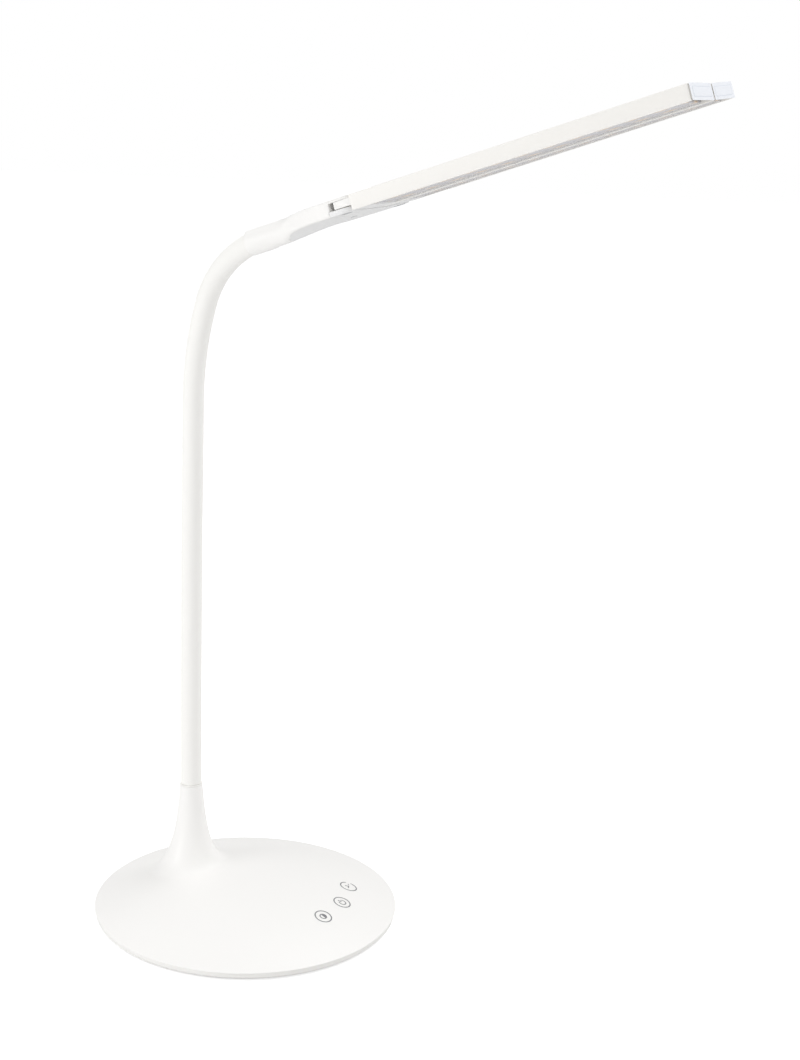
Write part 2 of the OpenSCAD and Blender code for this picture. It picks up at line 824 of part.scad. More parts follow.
module head_cover() color(soft_grey)
    difference() {
        union() {
            head_frame() {
                blade(
                    cover_plan(),
                    [
                        [cover_start_x, flare[1][2]], [flare[2][0], flare[2][2]],
                        [block_x, block_bottom], [shell_end_x, block_bottom]
                    ],
                    [[cover_start_x, cover_top_w], [shell_end_x, cover_top_w]]
                );
                intersection() {
                    keel();
                    cover_zone();
                }
            }
            for (side = [LEFT, RIGHT])
                bar_frame(side) lip_plan(block_bottom, lower_lip_top, cover_lip_y, cover_lip_x);
        }
        for (side = [LEFT, RIGHT])
            bar_frame(side)
                translate([pivot_x, pivot_y, -1]) {
                    cylinder(r = pin_r, h = 10);
                    cylinder(r = pin_head_r + fit, h = 1 + block_bottom + pin_head_t);
                }
        head_frame()
            translate([cover_screw_x, 0, -10]) {
                cylinder(r = screw_r + 0.2, h = 20);
                cylinder(r = screw_head_r - 0.3, h = 11 + block_bottom);
            }
    }

module cover_screw() color(steel)
    head_frame()
        translate([cover_screw_x, 0, block_bottom + 0.1]) {
            cylinder(r = screw_head_r - 0.4, h = 0.8);
            cylinder(r = screw_r + 0.1, h = roof_w - block_bottom - 0.15);
        }

module hinge_pins() color(steel)
    for (side = [LEFT, RIGHT])
        bar_frame(side)
            translate([pivot_x, pivot_y, block_bottom]) {
                cylinder(r = pin_head_r, h = pin_head_t - 0.05);
                cylinder(r = pin_r, h = pin_top - block_bottom);
            }

module hinge_washers() color(brass)
    for (side = [LEFT, RIGHT])
        bar_frame(side)
            translate([pivot_x, pivot_y, 0])
                for (span = [[lower_lip_top, tongue_bottom], [tongue_top, slot_top]])
                    difference() {
                        translate([0, 0, span[0] + 0.03])
                            cylinder(r = washer_r, h = span[1] - span[0] - 0.06);
                        cylinder(r = pin_r + 0.05, h = 10);
                    }

module head_leads() color(lead_red)
    head_frame()
        for (side = [LEFT, RIGHT])
            lead([
                [plug_end_x + 0.2, side * head_lead_r, sleeve_w], [-39, side * 4, head_lead_w],
                [-17, side * lead_gate_y, head_lead_w], [shell_end_x, side * lead_gate_y, head_lead_w]
            ], head_lead_r * 0.95);

// ---- light bars ----

module bar_housing(side) color(white)
    bar_frame(side)
        difference() {
            cube([housing_l, bar_w, bar_t]);
            translate([-1, bar_wall, -1]) cube([bar_l, bar_inner_w, bar_t - roof_t + 1]);
        }

module bar_knuckle(side) color(white)
    bar_frame(side)
        difference() {
            union() {
                translate([0, bar_wall + fit, 0])
                    cube([knuckle_l, bar_inner_w - 2 * fit, bar_t - roof_t - fit]);
                translate([pivot_x, pivot_y, tongue_bottom]) {
                    tongue_t = tongue_top - tongue_bottom;
                    half_tongue = tongue_r - step_in;
                    intersection() {
                        cylinder(r = tongue_sweep_r, h = tongue_t);
                        translate([-tongue_back, -half_tongue, 0])
                            cube([tongue_back + lap, 2 * half_tongue, tongue_t]);
                    }
                    translate([0, -half_tongue, 0])
                        cube([hinge_inset - step_in, 2 * half_tongue, tongue_t]);
                    translate([0, -half_tongue, 0])
                        cube([hinge_inset + 1, half_tongue + 3, tongue_t]);
                }
            }
            translate([pivot_x, pivot_y, 0]) cylinder(r = pin_r + 0.05, h = 10);
            translate([-1, bar_lead_y, head_lead_w])
                rotate([0, 90, 0]) cylinder(r = head_lead_r + 0.2, h = knuckle_l + 2);
        }

module bar_diffuser(side) color("#f7f5ee")
    bar_frame(side)
        translate([knuckle_l, bar_wall + fit, diffuser_z])
            cube([housing_l - cap_plug_l - knuckle_l, bar_inner_w - 2 * fit, diffuser_t]);

module led_board(side) color("#e9ebe6")
    bar_frame(side)
        translate([led_board_x, (bar_w - led_board_w) / 2, led_board_z])
            cube([housing_l - led_board_x - cap_plug_l - 1, led_board_w, led_board_t - 0.02]);

module leds(side) color("#f2c879")
    bar_frame(side)
        for (i = [0:led_count - 1], y = led_rows)
            translate([led_start + i * led_pitch - led_size[0] / 2, y - led_size[1] / 2, led_bottom_z])
                cube([led_size[0], led_size[1], led_size[2] - 0.01]);

module end_cap(side) color("#eef0f3")
    bar_frame(side)
        difference() {
            union() {
                translate([housing_l + cap_groove, 0, 0]) cube([cap_t - cap_groove, bar_w, bar_t]);
                translate([housing_l - cap_plug_l, bar_wall + fit, fit])
                    cube([cap_plug_l + cap_stop_l, bar_inner_w - 2 * fit, bar_t - roof_t - 2 * fit]);
                translate([housing_l, 0.7, 0.7]) cube([cap_stop_l, bar_w - 1.4, bar_t - 1.4]);
            }
            translate([bar_l - 0.3, 4, 1.6]) cube([1, bar_w - 8, bar_t - 3.2]);
        }

module bar_leads(side) color(lead_red)
    bar_frame(side)
        lead([
            [0.1, bar_lead_y, head_lead_w], [knuckle_l + 1.5, bar_lead_y, head_lead_w],
            [led_board_x + 2, bar_lead_y, led_board_z - 1]
        ], head_lead_r * 0.95);

base_shell();
base_tray();
ballast_disc();
ballast_screws();
base_feet();
tray_screws();
control_board();
board_screws();
touch_springs();
touch_mark(MODE);  // mode_mark
touch_mark(POWER);  // power_mark
touch_mark(TIMER);  // timer_mark
dc_jack();
base_leads();
neck_collar();
neck_plug_lower();
neck_washer();
neck_nut();
gooseneck_core("root");  // gooseneck_core_root
gooseneck_sheath("root");  // gooseneck_sheath_root
gooseneck_leads("root");  // gooseneck_leads_root
gooseneck_core("lower");  // gooseneck_core_lower
gooseneck_sheath("lower");  // gooseneck_sheath_lower
gooseneck_leads("lower");  // gooseneck_leads_lower
gooseneck_core("upper");  // gooseneck_core_upper
gooseneck_sheath("upper");  // gooseneck_sheath_upper
gooseneck_leads("upper");  // gooseneck_leads_upper
gooseneck_core("elbow");  // gooseneck_core_elbow
gooseneck_sheath("elbow");  // gooseneck_sheath_elbow
gooseneck_leads("elbow");  // gooseneck_leads_elbow
gooseneck_core("tip");  // gooseneck_core_tip
gooseneck_sheath("tip");  // gooseneck_sheath_tip
gooseneck_leads("tip");  // gooseneck_leads_tip
neck_plug_upper();
plug_screw();
head_shell();
head_cover();
cover_screw();
hinge_pins();
hinge_washers();
head_leads();
bar_housing(LEFT);  // left_bar_housing
bar_knuckle(LEFT);  // left_bar_knuckle
bar_diffuser(LEFT);  // left_bar_diffuser
led_board(LEFT);  // left_led_board
leds(LEFT);  // left_leds
end_cap(LEFT);  // left_end_cap
bar_leads(LEFT);  // left_bar_leads
bar_housing(RIGHT);  // right_bar_housing
bar_knuckle(RIGHT);  // right_bar_knuckle
bar_diffuser(RIGHT);  // right_bar_diffuser
led_board(RIGHT);  // right_led_board
leds(RIGHT);  // right_leds
end_cap(RIGHT);  // right_end_cap
bar_leads(RIGHT);  // right_bar_leads
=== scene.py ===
import math

import bpy
import bmesh
import numpy as np
from mathutils import Matrix, Vector

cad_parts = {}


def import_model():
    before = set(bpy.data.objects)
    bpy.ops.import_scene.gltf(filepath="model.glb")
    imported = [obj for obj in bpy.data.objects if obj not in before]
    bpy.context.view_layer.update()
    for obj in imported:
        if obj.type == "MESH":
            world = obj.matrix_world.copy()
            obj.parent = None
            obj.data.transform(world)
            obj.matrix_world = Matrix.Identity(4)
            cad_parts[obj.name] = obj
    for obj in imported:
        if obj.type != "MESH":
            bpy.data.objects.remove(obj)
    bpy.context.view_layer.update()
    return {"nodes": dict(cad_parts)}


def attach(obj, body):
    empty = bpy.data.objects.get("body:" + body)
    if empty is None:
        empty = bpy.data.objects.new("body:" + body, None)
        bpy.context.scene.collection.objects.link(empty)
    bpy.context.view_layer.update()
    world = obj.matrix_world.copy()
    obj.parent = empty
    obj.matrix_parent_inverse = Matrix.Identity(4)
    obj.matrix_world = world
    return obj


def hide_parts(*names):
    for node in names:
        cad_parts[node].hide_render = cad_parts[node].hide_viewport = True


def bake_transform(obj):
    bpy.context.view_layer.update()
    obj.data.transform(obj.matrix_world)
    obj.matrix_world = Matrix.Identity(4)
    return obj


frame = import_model()
MM = 0.001

# ---------------------------------------------------------------- sizes, in mm
# The head's origin lies 2.86 mm in front of the CAD part's, so the bars start at BAR_X.
BASE_R = 85.0
SEAM_Z = 4.6
RIM_Z = 5.1
DOME_RISE = 18.0
DOME_R = (BASE_R ** 2 + DOME_RISE ** 2) / (2 * DOME_RISE)
DOME_MID = RIM_Z + DOME_RISE - DOME_R
NECK_X = -35.5
NECK_TOP = 68.6
NECK_MOUTH = 6.4
NECK_ROOT = 10.0
NECK_FLARE = 0.66
FOOT_TOP = 30.2
FOOT_SPREAD = 26.0
NECK_BORE_R, NECK_BORE_Z = 4.55, 60.0
NECK_LIP = 0.3
RIM_ROUND = 0.25
COLLAR_R, COLLAR_BORE = 6.3, 4.6
COLLAR_LOW, COLLAR_HIGH = 68.62, 69.38
TUBE_R, TUBE_BORE = 5.85, 4.5
TUBE_START = 69.42
MARK_RING = 58.2
MARK_TURN = 6.0
MARK_STEP = 20.0
MARK_R = 4.8
MARK_LIFT = 0.05
MARK_LINE, ICON_LINE, HAND_LINE = 0.62, 0.55, 0.6
TILT = math.radians(18.4)
LEANS = (0.0, 0.45, 0.9)
BENDS = (100.0, 200.0, 289.8)
EASE_R, EASE_A, ELBOW_R, TIP_HEAD, LINK = 190.0, 15.0, 52.0, 55.0, 2.6
HEAD_HEAD = 90 - 18.4
REACH = 73.86
TUBE_END_X = -67.0
SLEEVE_W = 2.9
SLEEVE_R = 6.7
LIP_X = -81.0
BAR_L, BAR_W, BAR_T, GAP = 166.6, 35.0, 7.7, 1.0
ROLL = {1: math.radians(1.4), -1: math.radians(0.6)}  # 1 is the left bar, -1 the right one
WALL = 1.6
CAP_T, CAP_FLANGE, CAP_PLUG, CAP_GROOVE = 0.95, 0.2, 4.9, 0.35
HOUSING_L = BAR_L - CAP_T
BAR_X = -2.86
KNUCKLE_L = 8.0
PIVOT = (BAR_X - 5.6, 29.8)
LIP_R, SLOT_R, TONGUE_R = 5.2, 6.3, 5.0
TONGUE_BACK, TONGUE_SWEEP = 3.6, 6.0
SHELL_END = BAR_X - 0.4
SLOT_FLOOR, SLOT_ROOF = 2.4, 6.3
LED_PITCH, LED_ROWS = 13.3, (10.0, 25.0)
LED_START = 9.0  # half a pitch behind the first LED


def dome_z(r):
    return DOME_MID + math.sqrt(DOME_R ** 2 - r * r)


def neck_r(z):
    return NECK_MOUTH * ((NECK_TOP - NECK_ROOT) / (z - NECK_ROOT)) ** NECK_FLARE


def ahead(p, h, run):
    h = math.radians(h)
    return (p[0] + run * math.sin(h), p[1] + run * math.cos(h))


def along_arc(p, a, b, r):
    a, b = math.radians(a), math.radians(b)
    return (p[0] + r * (math.cos(a) - math.cos(b)), p[1] + r * (math.sin(b) - math.sin(a)))


P1 = (NECK_X, BENDS[0])
P2 = ahead(P1, LEANS[1], (BENDS[1] - BENDS[0]) / math.cos(math.radians(LEANS[1])))
P3 = ahead(P2, LEANS[2], (BENDS[2] - BENDS[1]) / math.cos(math.radians(LEANS[2])))
EASE_H = LEANS[2] + EASE_A
P_EASE = along_arc(P3, LEANS[2], EASE_H, EASE_R)
P_ELBOW = ahead(P_EASE, EASE_H, LINK)
P4 = along_arc(P_ELBOW, EASE_H, TIP_HEAD, ELBOW_R)
P_END = along_arc(P4, TIP_HEAD, HEAD_HEAD, ELBOW_R)
U = np.array([math.cos(TILT), 0, math.sin(TILT)])
V = np.array([0.0, 1.0, 0.0])
W = np.array([-math.sin(TILT), 0, math.cos(TILT)])
HEAD_O = np.array([P_END[0], 0, P_END[1]]) + REACH * U - SLEEVE_W * W


def head_point(s, y, w):
    return HEAD_O + s * U + y * V + w * W


def bar_point(side, x, y, z):
    c, s = math.cos(ROLL[side]), math.sin(ROLL[side])
    return head_point(x, side * (y * c - z * s + GAP / 2), y * s + z * c)


# ---------------------------------------------------------------- materials
GRAIN_SCALE, GRAIN_DEPTH = 900.0, 0.0002
ROUGH_SPREAD = 0.05


def nodes_of(name):
    m = bpy.data.materials.new(name)
    m.use_nodes = True
    n = m.node_tree.nodes
    n.clear()
    out = n.new("ShaderNodeOutputMaterial")
    b = n.new("ShaderNodeBsdfPrincipled")
    m.node_tree.links.new(b.outputs[0], out.inputs[0])
    return m, n, m.node_tree.links, b


def plain(name, colour, rough=0.5, metal=0.0, grain=0.02, bump=0.02, spec=0.5):
    """A finish with a little grain in its colour, its roughness and its surface."""
    m, n, links, b = nodes_of(name)
    tex = n.new("ShaderNodeTexCoord")
    noise = n.new("ShaderNodeTexNoise")
    noise.inputs["Scale"].default_value = GRAIN_SCALE
    noise.inputs["Detail"].default_value = 3.0
    links.new(tex.outputs["Object"], noise.inputs["Vector"])
    mix = n.new("ShaderNodeMix")
    mix.data_type = "RGBA"
    mix.inputs["A"].default_value = (*[c * (1 - grain) for c in colour], 1)
    mix.inputs["B"].default_value = (*[min(1, c * (1 + grain)) for c in colour], 1)
    links.new(noise.outputs[0], mix.inputs["Factor"])
    links.new(mix.outputs["Result"], b.inputs["Base Color"])
    rng = n.new("ShaderNodeMapRange")
    rng.inputs["To Min"].default_value = max(0.02, rough - ROUGH_SPREAD)
    rng.inputs["To Max"].default_value = min(1, rough + ROUGH_SPREAD)
    links.new(noise.outputs[0], rng.inputs["Value"])
    links.new(rng.outputs[0], b.inputs["Roughness"])
    if bump:
        bp = n.new("ShaderNodeBump")
        bp.inputs["Strength"].default_value = bump
        bp.inputs["Distance"].default_value = GRAIN_DEPTH
        links.new(noise.outputs[0], bp.inputs["Height"])
        links.new(bp.outputs[0], b.inputs["Normal"])
    b.inputs["Metallic"].default_value = metal
    b.inputs["Specular IOR Level"].default_value = spec
    return m


def srgb(*c):
    """A colour written in screen values from 0 to 255."""
    return tuple(((v / 255 + 0.055) / 1.055) ** 2.4 if v > 10 else v / 255 / 12.92 for v in c)


WHITE = plain("white_shell_plastic", srgb(250, 249, 247), rough=0.42, grain=0.006, bump=0.015, spec=0.4)
TRAY = plain("white_tray_plastic", srgb(246, 245, 242), rough=0.5, grain=0.01)
SILICONE = plain("white_silicone", srgb(250, 249, 246), rough=0.6, grain=0.008, spec=0.3)
BAR = plain("white_bar_plastic", srgb(250, 248, 244), rough=0.4, grain=0.006, bump=0.01, spec=0.4)
RUBBER = plain("grey_rubber", srgb(120, 119, 116), rough=0.8)
STEEL = plain("steel", srgb(190, 192, 195), rough=0.3, metal=1.0)
BRASS = plain("brass", srgb(205, 175, 105), rough=0.3, metal=1.0)
GREEN = plain("green_board", srgb(40, 110, 75), rough=0.45)
BOARD = plain("white_board", srgb(238, 240, 236), rough=0.4)
LEAD = plain("lead_insulation", srgb(165, 60, 52), rough=0.5)
PRINT = plain("mark_print", srgb(128, 129, 132), rough=0.5, bump=0.0)
COVER = plain("cover_plastic", srgb(240, 240, 240), rough=0.5, grain=0.01)
CAP = plain("cap_plastic", srgb(244, 247, 253), rough=0.35, grain=0.0, bump=0.0)
CAP_LINE = plain("cap_line", srgb(222, 227, 236), rough=0.3, bump=0.0)
# grey painted shade: the cap's groove and the plug in the bar's open end get this colour
PAINTED_SHADE = plain("cap_painted_shade", srgb(205, 202, 198), rough=0.7, bump=0.0, spec=0.2)
# near-black painted shadow: the plate above each diffuser and the disc in the screw's hole
PAINTED_SHADOW = plain("painted_shadow_dark", srgb(40, 38, 37), rough=0.9, bump=0.0, spec=0.1)
BLACK = plain("black_plastic", srgb(40, 40, 42), rough=0.5)
LED = plain("led_phosphor", srgb(250, 215, 130), rough=0.35)


SPOT_BASE, SPOT_FALL = 2.718, -0.09


def diffuser_material():
    """Opal strip with two rows of warm spots where the LEDs are."""
    m, n, links, b = nodes_of("opal_diffuser")
    uv = n.new("ShaderNodeUVMap")
    uv.uv_map = "strip"
    sep = n.new("ShaderNodeSeparateXYZ")
    links.new(uv.outputs[0], sep.inputs[0])

    def math_node(op, *values):
        k = n.new("ShaderNodeMath")
        k.operation = op
        for i, v in enumerate(values):
            if isinstance(v, (int, float)):
                k.inputs[i].default_value = v
            else:
                links.new(v, k.inputs[i])
        return k.outputs[0]

    along = math_node("DIVIDE", sep.outputs[0], LED_PITCH)
    cell = math_node("ABSOLUTE", math_node("SUBTRACT", math_node("FRACT", along), 0.5))
    away = math_node("MULTIPLY", cell, LED_PITCH)
    total = None
    for row in LED_ROWS:
        across = math_node("ABSOLUTE", math_node("SUBTRACT", sep.outputs[1], row))
        square = math_node("ADD", math_node("MULTIPLY", away, away), math_node("MULTIPLY", across, across))
        spot = math_node("POWER", SPOT_BASE, math_node("MULTIPLY", square, SPOT_FALL))
        total = spot if total is None else math_node("ADD", total, spot)
    mix = n.new("ShaderNodeMix")
    mix.data_type = "RGBA"
    mix.inputs["A"].default_value = (*srgb(206, 206, 212), 1)
    mix.inputs["B"].default_value = (*srgb(250, 221, 186), 1)
    links.new(total, mix.inputs["Factor"])
    links.new(mix.outputs["Result"], b.inputs["Base Color"])
    b.inputs["Roughness"].default_value = 0.22
    return m


OPAL = diffuser_material()


# ---------------------------------------------------------------- mesh helpers
def round_edges(ob, width, angle):
    mod = ob.modifiers.new("edge", "BEVEL")
    mod.width = width * MM
    mod.segments = 2
    mod.limit_method = "ANGLE"
    mod.angle_limit = math.radians(angle)


def mesh(name, verts, faces, mat, body=None, slot=None, instead=(), sharp=40, bevel=0.0):
    """A piece of the scene, with its body, its material slot (the slot argument is not used) and the CAD
    nodes that it stands for.
    """
    me = bpy.data.meshes.new(name)
    me.from_pydata([tuple(np.asarray(v, float) * MM) for v in verts], [], [tuple(f) for f in faces])
    me.validate()
    ob = bpy.data.objects.new(name, me)
    bpy.context.collection.objects.link(ob)
    bm = bmesh.new()
    bm.from_mesh(me)
    bmesh.ops.recalc_face_normals(bm, faces=bm.faces)
    bm.to_mesh(me)
    bm.free()
    me.materials.append(mat)
    if bevel:
        round_edges(ob, bevel, 35)
        bake(ob)
    smooth(ob, sharp)
    if body:
        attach(ob, body)
    if instead:
        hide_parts(*instead)
    return ob


def bake(ob):
    """Turns an object's modifiers into its mesh."""
    dg = bpy.context.evaluated_depsgraph_get()
    new = bpy.data.meshes.new_from_object(ob.evaluated_get(dg))
    ob.modifiers.clear()
    ob.data = new


def smooth(ob, angle):
    ob.data.polygons.foreach_set("use_smooth", [True] * len(ob.data.polygons))
    ob.data.set_sharp_from_angle(angle=math.radians(angle))


def cut(ob, cutters, sharp, bevel):
    """Takes the cutters out of an object, rounds its edges and removes the cutters."""
    for c in cutters:
        mod = ob.modifiers.new("cut", "BOOLEAN")
        mod.operation = "DIFFERENCE"
        mod.solver = "EXACT"
        mod.object = c
    round_edges(ob, bevel, 40)
    bake(ob)
    for c in cutters:
        bpy.data.objects.remove(c)
    smooth(ob, sharp)


def rings(loops, close_ends=True):
    """Faces that join equal closed loops of points into a skin."""
    n = len(loops[0])
    verts = [p for loop in loops for p in loop]
    faces = []
    for k in range(len(loops) - 1):
        for i in range(n):
            j = (i + 1) % n
            faces.append((k * n + i, k * n + j, (k + 1) * n + j, (k + 1) * n + i))
    if close_ends:
        faces.append(tuple(range(n - 1, -1, -1)))
        faces.append(tuple((len(loops) - 1) * n + i for i in range(n)))
    return verts, faces


def prism(outline, lo, hi, place):
    """A closed plate over an outline of (x, y) points, between the heights lo and hi."""
    return rings([[place(x, y, lo) for x, y in outline], [place(x, y, hi) for x, y in outline]])


def arc(cx, cy, r, a0, a1, n=12):
    return [(cx + r * math.cos(math.radians(a0 + (a1 - a0) * i / n)),
             cy + r * math.sin(math.radians(a0 + (a1 - a0) * i / n))) for i in range(n + 1)]


def box_outline(x0, x1, y0, y1):
    return [(x0, y0), (x1, y0), (x1, y1), (x0, y1)]


def rounded_outline(x0, x1, y0, y1, r, n=6):
    return (arc(x1 - r, y0 + r, r, -90, 0, n) + arc(x1 - r, y1 - r, r, 0, 90, n)
            + arc(x0 + r, y1 - r, r, 90, 180, n) + arc(x0 + r, y0 + r, r, 180, 270, n))


# ---------------------------------------------------------------- base
def base_dome():
    """The dome with the neck that grows out of it, as one skin of rings round the neck's middle."""
    sides, neck_rings, foot_rings, dome_rings = 144, 40, 36, 40
    foot_r0 = neck_r(FOOT_TOP)
    crown = dome_z(abs(NECK_X))
    rise = FOOT_TOP - crown
    power = (FOOT_TOP - NECK_ROOT) / NECK_FLARE / foot_r0 * (FOOT_SPREAD - foot_r0) / rise
    angles = [2 * math.pi * i / sides for i in range(sides)]
    lip_z, lip_r = NECK_TOP - NECK_LIP, NECK_MOUTH - NECK_LIP
    lip_mid = 0.3 * NECK_LIP
    profile = [(NECK_BORE_Z, NECK_BORE_R), (lip_z, NECK_BORE_R), (NECK_TOP, NECK_BORE_R + RIM_ROUND),
               (NECK_TOP, lip_r), (NECK_TOP - lip_mid, NECK_MOUTH - lip_mid), (lip_z, NECK_MOUTH)]
    for k in range(1, neck_rings + 1):
        z = lip_z + (FOOT_TOP - lip_z) * (k / neck_rings) ** 0.8
        profile.append((z, neck_r(z)))
    loops = [[(NECK_X + r * math.cos(a), r * math.sin(a), z) for a in angles] for z, r in profile]
    for k in range(1, foot_rings + 1):
        t = k / foot_rings
        r = foot_r0 + (FOOT_SPREAD - foot_r0) * t
        loop = []
        for a in angles:
            x, y = NECK_X + r * math.cos(a), r * math.sin(a)
            slope = dome_z(math.hypot(x, y)) - crown
            loop.append((x, y, crown + rise * (1 - t) ** power + t * (2 - t) * slope))
        loops.append(loop)
    ends = []
    for a in angles:
        b = NECK_X * math.cos(a)
        reach = -b + math.sqrt(b * b - NECK_X ** 2 + (BASE_R - RIM_ROUND) ** 2)
        ends.append(reach)
    for k in range(1, dome_rings + 1):
        t = (k / dome_rings) ** 0.85
        loop = []
        for a, reach in zip(angles, ends):
            r = FOOT_SPREAD + (reach - FOOT_SPREAD) * t
            x, y = NECK_X + r * math.cos(a), r * math.sin(a)
            loop.append((x, y, dome_z(math.hypot(x, y))))
        loops.append(loop)
    rim = [math.atan2(p[1], p[0]) for p in loops[-1]]
    top = dome_z(BASE_R - RIM_ROUND)
    for dr, z in ((0.1, top - 0.09), (0.02, top - 0.22), (0.0, top - 0.4),
                  (0.0, SEAM_Z + 0.15), (0.15, SEAM_Z), (3.0, SEAM_Z)):
        loops.append([((BASE_R - dr) * math.cos(a), (BASE_R - dr) * math.sin(a), z) for a in rim])
    verts, faces = rings(loops, close_ends=False)
    return mesh("base_dome", verts, faces, WHITE, "base", "white_shell", ("base_shell",), sharp=50)


def on_dome(kind, x, y):
    """A point of a printed mark, x and y in its own frame with +y toward the base's middle."""
    a = math.radians(MARK_TURN + kind * MARK_STEP)
    rx, ry = MARK_RING - y, x
    px, py = rx * math.cos(a) - ry * math.sin(a), rx * math.sin(a) + ry * math.cos(a)
    return (px, py, dome_z(math.hypot(px, py)) + MARK_LIFT)


def stroke(kind, points, width, closed=False):
    """A flat printed line through points of a mark."""
    pts = np.array(points, float)
    n = len(pts)
    verts, faces = [], []
    for i in range(n):
        a = pts[(i - 1) % n] if closed or i > 0 else pts[i]
        b = pts[(i + 1) % n] if closed or i < n - 1 else pts[i]
        d = (b - a) / max(1e-9, np.hypot(*(b - a)))
        q = np.array([-d[1], d[0]]) * width / 2
        verts += [on_dome(kind, *(pts[i] + q)), on_dome(kind, *(pts[i] - q))]
    for i in range(n if closed else n - 1):
        j = (i + 1) % n
        faces.append((2 * i, 2 * i + 1, 2 * j + 1, 2 * j))
    return verts, faces


def disc(kind, cx, cy, r):
    n = 24
    verts = [on_dome(kind, cx, cy)] + [on_dome(kind, x, y) for x, y in arc(cx, cy, r, 0, 360, n)[:-1]]
    return verts, [(0, 1 + i, 1 + (i + 1) % n) for i in range(n)]


def half_disc(kind, r):
    outline = arc(0, 0, r, -90, 90, 20)
    return [on_dome(kind, x, y) for x, y in outline], [tuple(range(len(outline)))]


def joined(parts):
    verts, faces = [], []
    for v, f in parts:
        faces += [tuple(i + len(verts) for i in q) for q in f]
        verts += v
    return verts, faces


def circle(r, n):
    return arc(0, 0, r, 0, 360, n)[:-1]


def marks():
    """Three printed marks: a half-filled ring, a power sign and a timer, each in its own ring."""
    ring_r = MARK_R - MARK_LINE / 2
    ring = circle(ring_r, 72)
    mode = [stroke(-1, ring, MARK_LINE, True), stroke(-1, circle(1.8, 40), ICON_LINE, True),
            half_disc(-1, 1.6)]
    power = [stroke(0, ring, MARK_LINE, True), stroke(0, arc(0, -0.2, 1.9, 125, 415, 40), ICON_LINE),
             stroke(0, [(0, 0.3), (0, 2.4)], HAND_LINE)]
    timer = [stroke(1, arc(0, 0, ring_r, 20, 345, 72), MARK_LINE),
             stroke(1, [(-1.9, 0), (0.4, 0), (1.0, 0)], HAND_LINE), disc(1, 2.6, 0, 0.42),
             stroke(1, [(0, 0), (0, 2.0)], HAND_LINE)]
    for kind, parts in (("mode", mode), ("power", power), ("timer", timer)):
        v, f = joined(parts)
        mesh("mark_" + kind, v, f, PRINT, "base", "print_grey", (kind + "_mark",))


def neck_ring():
    """The collar at the neck's mouth, with its two outer edges broken."""
    loops = []
    turns = np.linspace(0, 2 * math.pi, 97)[:-1]
    for r, z in ((COLLAR_BORE, COLLAR_LOW), (COLLAR_R - 0.15, COLLAR_LOW), (COLLAR_R, COLLAR_LOW + 0.1),
                 (COLLAR_R, COLLAR_HIGH - 0.13), (COLLAR_R - 0.15, COLLAR_HIGH), (COLLAR_BORE, COLLAR_HIGH)):
        loops.append([(NECK_X + r * math.cos(t), r * math.sin(t), z) for t in turns])
    loops.append(loops[0])
    verts, faces = rings(loops, close_ends=False)
    mesh("neck_ring", verts, faces, TRAY, "base", "white_tray", ("neck_collar",), sharp=60)


# ---------------------------------------------------------------- gooseneck
def centre_line():
    """(distance, x, z, heading) along the gooseneck, from the neck's mouth into the head's sleeve."""
    # each stretch ends with its number of steps
    pts = []
    total = 0.0

    def straight(p, h, run, n):
        nonlocal total
        for i in range(n + 1):
            q = ahead(p, h, run * i / n)
            pts.append((total + run * i / n, q[0], q[1], h))
        total += run

    def bend(p, a, b, r, n):
        nonlocal total
        run = math.radians(b - a) * r
        for i in range(n + 1):
            h = a + (b - a) * i / n
            q = along_arc(p, a, h, r)
            pts.append((total + run * i / n, q[0], q[1], h))
        total += run

    straight((NECK_X, TUBE_START), 0, P1[1] - TUBE_START, 12)
    d1 = total
    straight(P1, LEANS[1], math.dist(P1, P2), 34)
    d2 = total
    straight(P2, LEANS[2], math.dist(P2, P3), 34)
    d3 = total
    bend(P3, LEANS[2], EASE_H, EASE_R, 26)
    straight(P_EASE, EASE_H, LINK, 1)
    bend(P_ELBOW, EASE_H, TIP_HEAD, ELBOW_R, 30)
    d4 = total
    bend(P4, TIP_HEAD, HEAD_HEAD, ELBOW_R, 14)
    straight(P_END, HEAD_HEAD, REACH + TUBE_END_X, 6)
    kept = [pts[0]]
    for p in pts[1:]:
        if p[0] - kept[-1][0] > 1e-6:
            kept.append(p)
    return kept, (d1, d2, d3, d4), total


